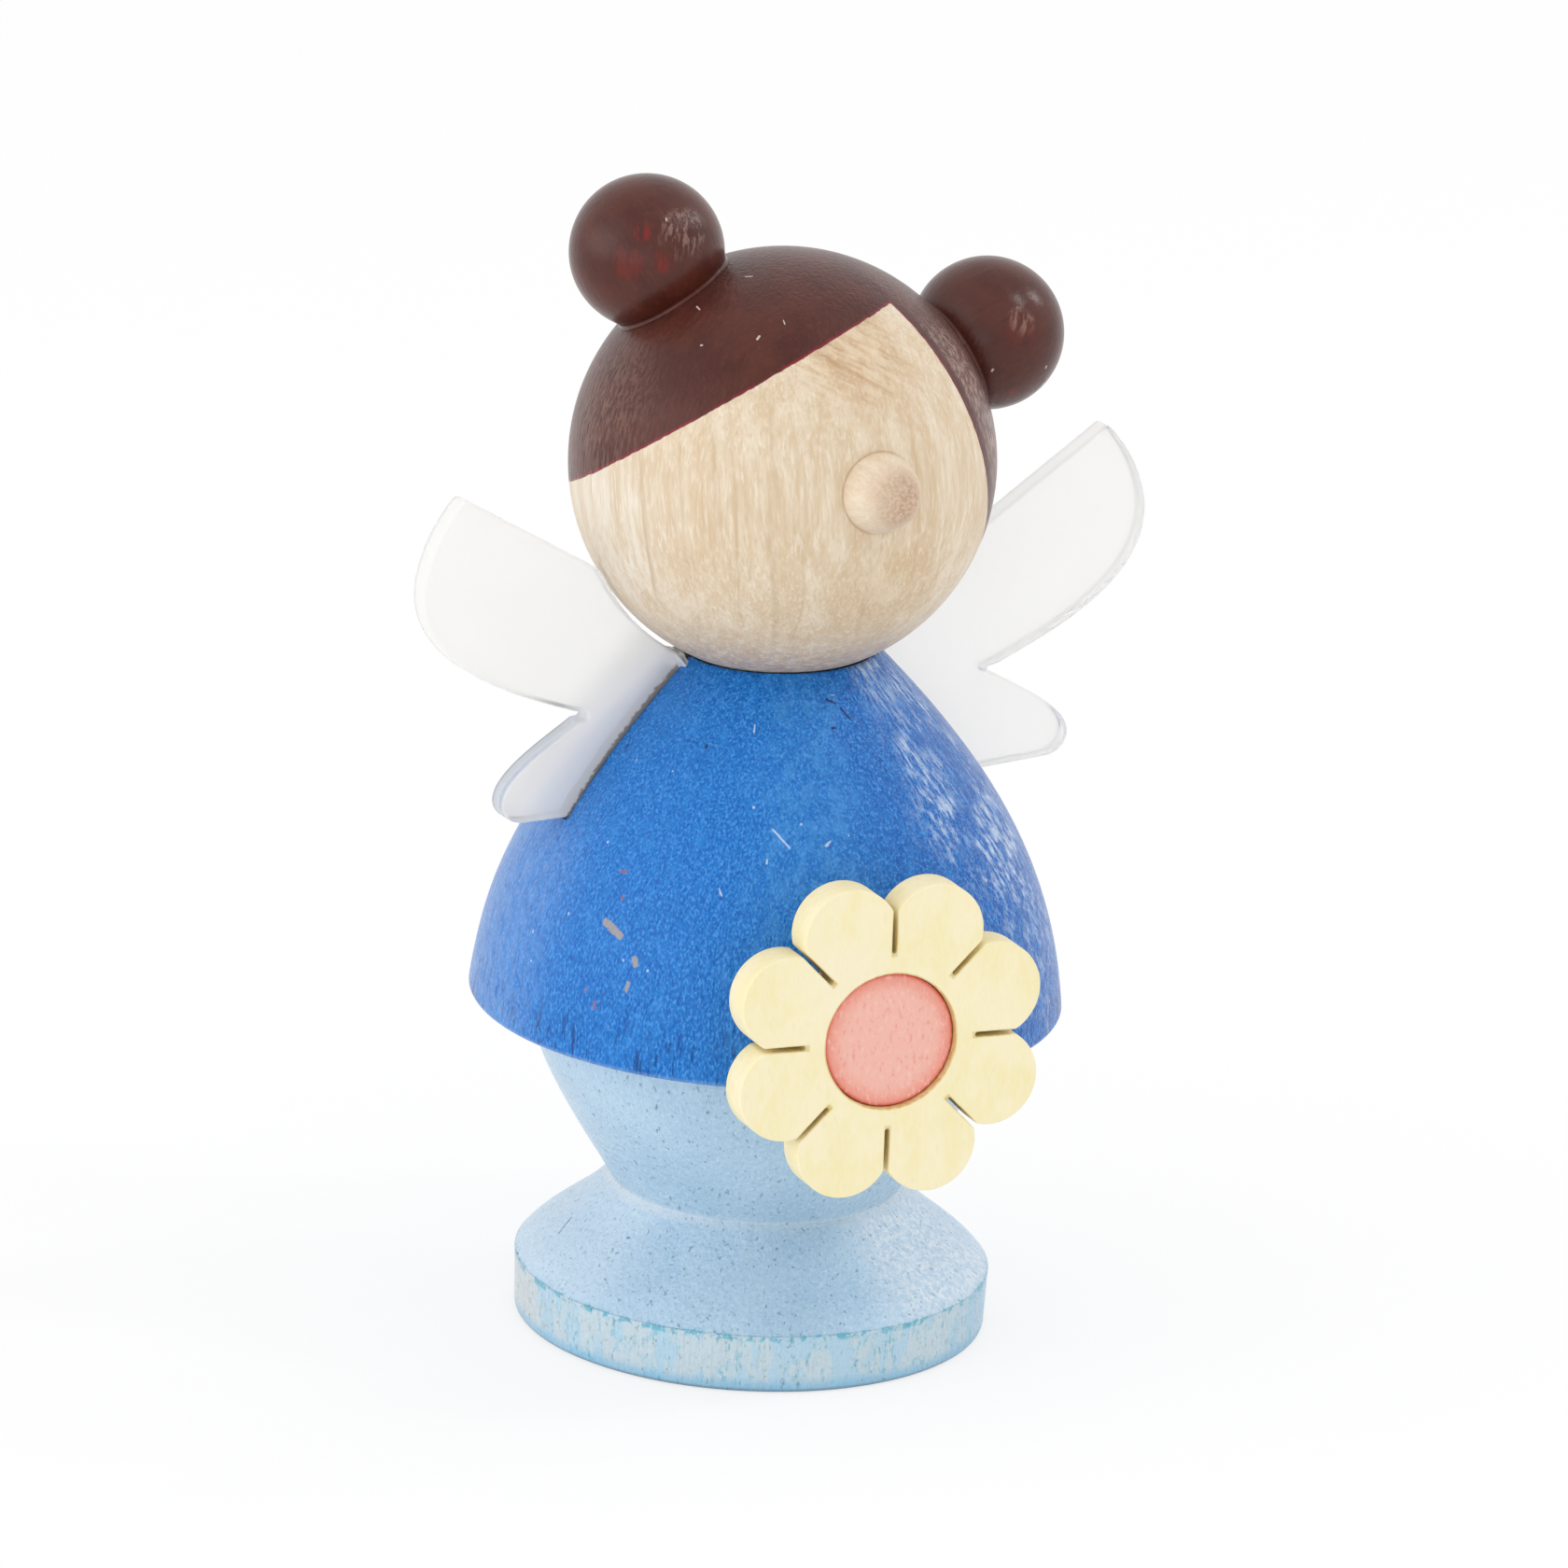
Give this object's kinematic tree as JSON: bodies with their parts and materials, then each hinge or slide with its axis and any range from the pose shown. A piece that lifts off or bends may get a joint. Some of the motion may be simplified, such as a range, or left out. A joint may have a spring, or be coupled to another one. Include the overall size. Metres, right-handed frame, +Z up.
{
  "type": "wooden fairy figure",
  "caption": "Small turned wooden fairy ornament with hair buns, milky plastic wings and a flower held before the hem; stands on a flat round foot.",
  "frame": {"origin": "centre of the foot's underside, on the surface the figure stands on", "axes": "+Z up the body's axis; -Y the way the figure faces; +X towards its own left hand"},
  "size_m": [0.0419, 0.0336, 0.0605],
  "materials": {
    "skirt_paint": "light blue paint, satin, thin on the foot's rim",
    "dress_paint": "blue paint, satin, with the wood's pores showing",
    "beech_dowel": "bare, as turned",
    "bare_maple": "bare, sanded, clear sealed",
    "hair_paint": "dark brown paint over a red undercoat, half gloss",
    "milky_plastic": "milky translucent sheet with polished edges",
    "petal_stain": "pale yellow stain, matt, slits browned by the laser",
    "centre_stain": "pink stain, matt, redder rim"
  },
  "bodies": {
    "root": {"foot_skirt": "skirt_paint", "dress": "dress_paint", "body_dowel": "beech_dowel", "neck_dowel": "beech_dowel", "head": "bare_maple", "nose": "bare_maple", "bun_right": "hair_paint", "bun_left": "hair_paint", "wing_right": "milky_plastic", "wing_left": "milky_plastic", "flower_petals": "petal_stain", "flower_centre": "centre_stain"}
  },
  "joints": []
}
